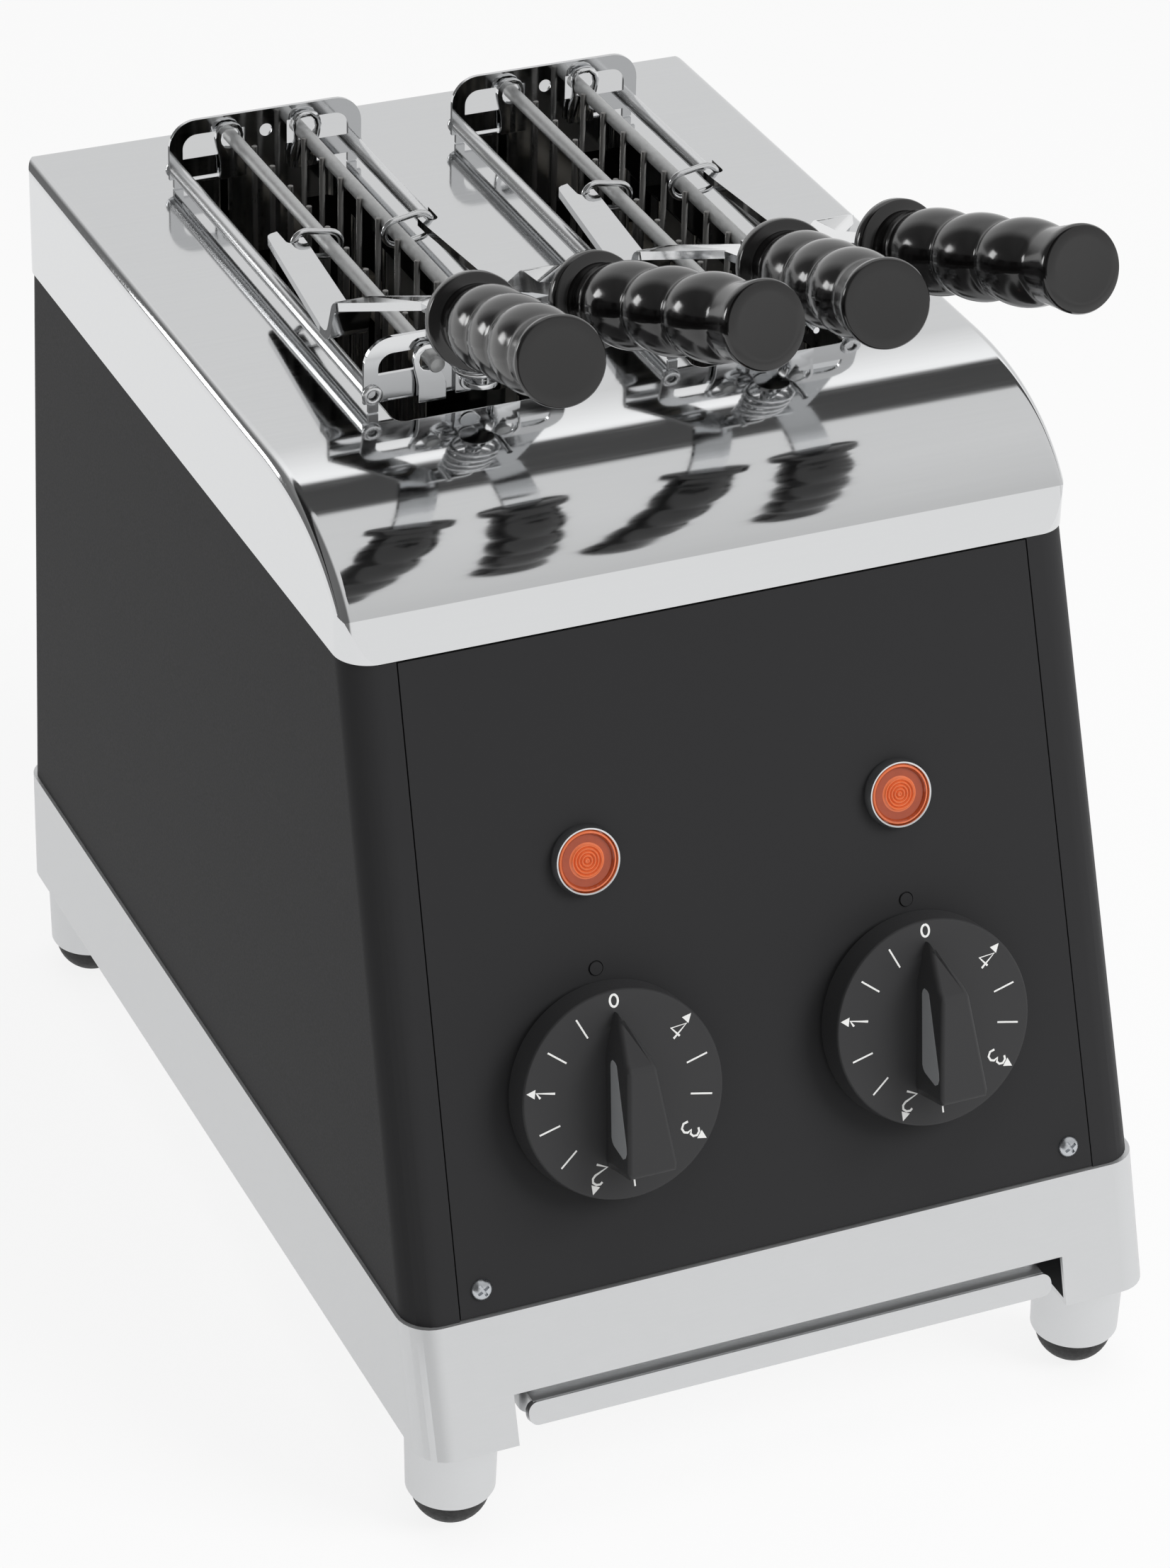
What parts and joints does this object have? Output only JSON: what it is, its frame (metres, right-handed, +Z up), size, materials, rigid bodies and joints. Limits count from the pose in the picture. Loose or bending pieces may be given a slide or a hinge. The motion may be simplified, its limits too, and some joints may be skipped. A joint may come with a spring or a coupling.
{
  "type": "tong toaster",
  "caption": "Tong toaster with lift-out spring tongs, slanted panel with timer knobs and pilot lamps, pull-out crumb tray and rubber-tipped feet.",
  "frame": {"origin": "on the table, under the middle of the footprint", "axes": "+Z up, the front panel faces -Y, +X to the right seen from the front"},
  "size_m": [0.232, 0.35, 0.3753],
  "materials": {
    "polished_steel": "mirror-polished stainless sheet",
    "black_paint": "satin black stoved paint",
    "satin_steel": "fine satin steel",
    "galvanised_wire": "dull galvanised and bright wire",
    "dark_enamel": "heat-darkened enamel",
    "bakelite": "glossy moulded black",
    "knob_plastic": "fine-grained black moulding with white scale",
    "pointer_insert": "light grey foil insert",
    "rubber_tip": "black rubber",
    "plated_steel": "zinc-plated steel",
    "bezel_chrome": "bright chrome",
    "amber_lens": "amber moulded lens with rings",
    "ceramic": "white steatite and moulded insulation",
    "quartz": "milky quartz tube",
    "gland_nylon": "black nylon"
  },
  "bodies": {
    "housing": {"top_cover": "polished_steel", "body_shell": "black_paint", "front_panel": "black_paint", "base_frame": "satin_steel", "deck_plate": "satin_steel", "foot_sleeves": "satin_steel", "foot_tips": "rubber_tip", "foot_bolts": "plated_steel", "tray_runners": "satin_steel", "panel_screws": "plated_steel", "rear_screws": "plated_steel", "lamp_bezels": "bezel_chrome", "lamp_lenses": "amber_lens", "lamp_bodies": "ceramic", "timer_units": "ceramic", "chamber_left": "dark_enamel", "chamber_right": "dark_enamel", "guard_wires": "galvanised_wire", "heater_tubes": "quartz", "heater_caps": "ceramic", "reflectors": "satin_steel", "terminal_block": "ceramic", "cable_gland": "gland_nylon"},
    "tray": {"crumb_tray": "satin_steel"},
    "dial_left": {"knob_left": "knob_plastic", "insert_left": "pointer_insert", "shaft_left": "plated_steel"},
    "dial_right": {"knob_right": "knob_plastic", "insert_right": "pointer_insert", "shaft_right": "plated_steel"},
    "tong_left": {"tl_rear_plate": "polished_steel", "tl_front_plate": "polished_steel", "tl_rails": "polished_steel", "tl_pivot": "polished_steel", "tl_spring": "polished_steel"},
    "tong_left_arm_left": {"tl_arm_left": "polished_steel", "tl_handle_left": "bakelite", "tl_link_left": "polished_steel"},
    "tong_left_grid_left": {"tl_grid_left": "galvanised_wire"},
    "tong_left_arm_right": {"tl_arm_right": "polished_steel", "tl_handle_right": "bakelite", "tl_link_right": "polished_steel"},
    "tong_left_grid_right": {"tl_grid_right": "galvanised_wire"},
    "tong_right": {"tr_rear_plate": "polished_steel", "tr_front_plate": "polished_steel", "tr_rails": "polished_steel", "tr_pivot": "polished_steel", "tr_spring": "polished_steel"},
    "tong_right_arm_left": {"tr_arm_left": "polished_steel", "tr_handle_left": "bakelite", "tr_link_left": "polished_steel"},
    "tong_right_grid_left": {"tr_grid_left": "galvanised_wire"},
    "tong_right_arm_right": {"tr_arm_right": "polished_steel", "tr_handle_right": "bakelite", "tr_link_right": "polished_steel"},
    "tong_right_grid_right": {"tr_grid_right": "galvanised_wire"}
  },
  "joints": [
    {"name": "dial_left_turn", "type": "hinge", "parent": "housing", "child": "dial_left", "pos_m": [-0.0483, -0.14299, 0.12619], "axis": [0, 0.9483, -0.3173], "range_deg": [0, 310]},
    {"name": "dial_right_turn", "type": "hinge", "parent": "housing", "child": "dial_right", "pos_m": [0.0483, -0.14299, 0.12619], "axis": [0, 0.9483, -0.3173], "range_deg": [0, 310]},
    {"name": "tray_pull", "type": "slide", "parent": "housing", "child": "tray", "axis": [0, -1, 0], "range_m": [0, 0.2]},
    {"name": "tong_left_lift", "type": "slide", "parent": "housing", "child": "tong_left", "axis": [0, 0, 1], "range_m": [0, 0.17]},
    {"name": "tong_left_squeeze_left", "type": "hinge", "parent": "tong_left", "child": "tong_left_arm_left", "pos_m": [-0.046, -0.039, 0.317], "axis": [0, 0, 1], "range_deg": [0, 4.8], "stiffness_Nm_per_rad": 2, "springref_deg": -11.46, "deforming": ["tl_spring"]},
    {"name": "tong_left_squeeze_right", "type": "hinge", "parent": "tong_left", "child": "tong_left_arm_right", "pos_m": [-0.046, -0.039, 0.317], "axis": [0, 0, 1], "range_deg": [-4.8, 0]},
    {"name": "tong_left_open_left", "type": "slide", "parent": "tong_left", "child": "tong_left_grid_left", "axis": [-1, 0, 0], "range_m": [0, 0.00745]},
    {"name": "tong_left_open_right", "type": "slide", "parent": "tong_left", "child": "tong_left_grid_right", "axis": [1, 0, 0], "range_m": [0, 0.00745]},
    {"name": "tong_right_lift", "type": "slide", "parent": "housing", "child": "tong_right", "axis": [0, 0, 1], "range_m": [0, 0.17]},
    {"name": "tong_right_squeeze_left", "type": "hinge", "parent": "tong_right", "child": "tong_right_arm_left", "pos_m": [0.046, -0.039, 0.317], "axis": [0, 0, 1], "range_deg": [0, 4.8], "stiffness_Nm_per_rad": 2, "springref_deg": -11.46, "deforming": ["tr_spring"]},
    {"name": "tong_right_squeeze_right", "type": "hinge", "parent": "tong_right", "child": "tong_right_arm_right", "pos_m": [0.046, -0.039, 0.317], "axis": [0, 0, 1], "range_deg": [-4.8, 0]},
    {"name": "tong_right_open_left", "type": "slide", "parent": "tong_right", "child": "tong_right_grid_left", "axis": [-1, 0, 0], "range_m": [0, 0.00745]},
    {"name": "tong_right_open_right", "type": "slide", "parent": "tong_right", "child": "tong_right_grid_right", "axis": [1, 0, 0], "range_m": [0, 0.00745]}
  ],
  "couplings": [
    {"joint": "tong_left_squeeze_right", "follows": "tong_left_squeeze_left", "ratio": -1},
    {"joint": "tong_left_open_left", "follows": "tong_left_squeeze_left", "m_per_rad": 0.08875},
    {"joint": "tong_left_open_right", "follows": "tong_left_squeeze_left", "m_per_rad": 0.08875},
    {"joint": "tong_right_squeeze_right", "follows": "tong_right_squeeze_left", "ratio": -1},
    {"joint": "tong_right_open_left", "follows": "tong_right_squeeze_left", "m_per_rad": 0.08875},
    {"joint": "tong_right_open_right", "follows": "tong_right_squeeze_left", "m_per_rad": 0.08875}
  ]
}
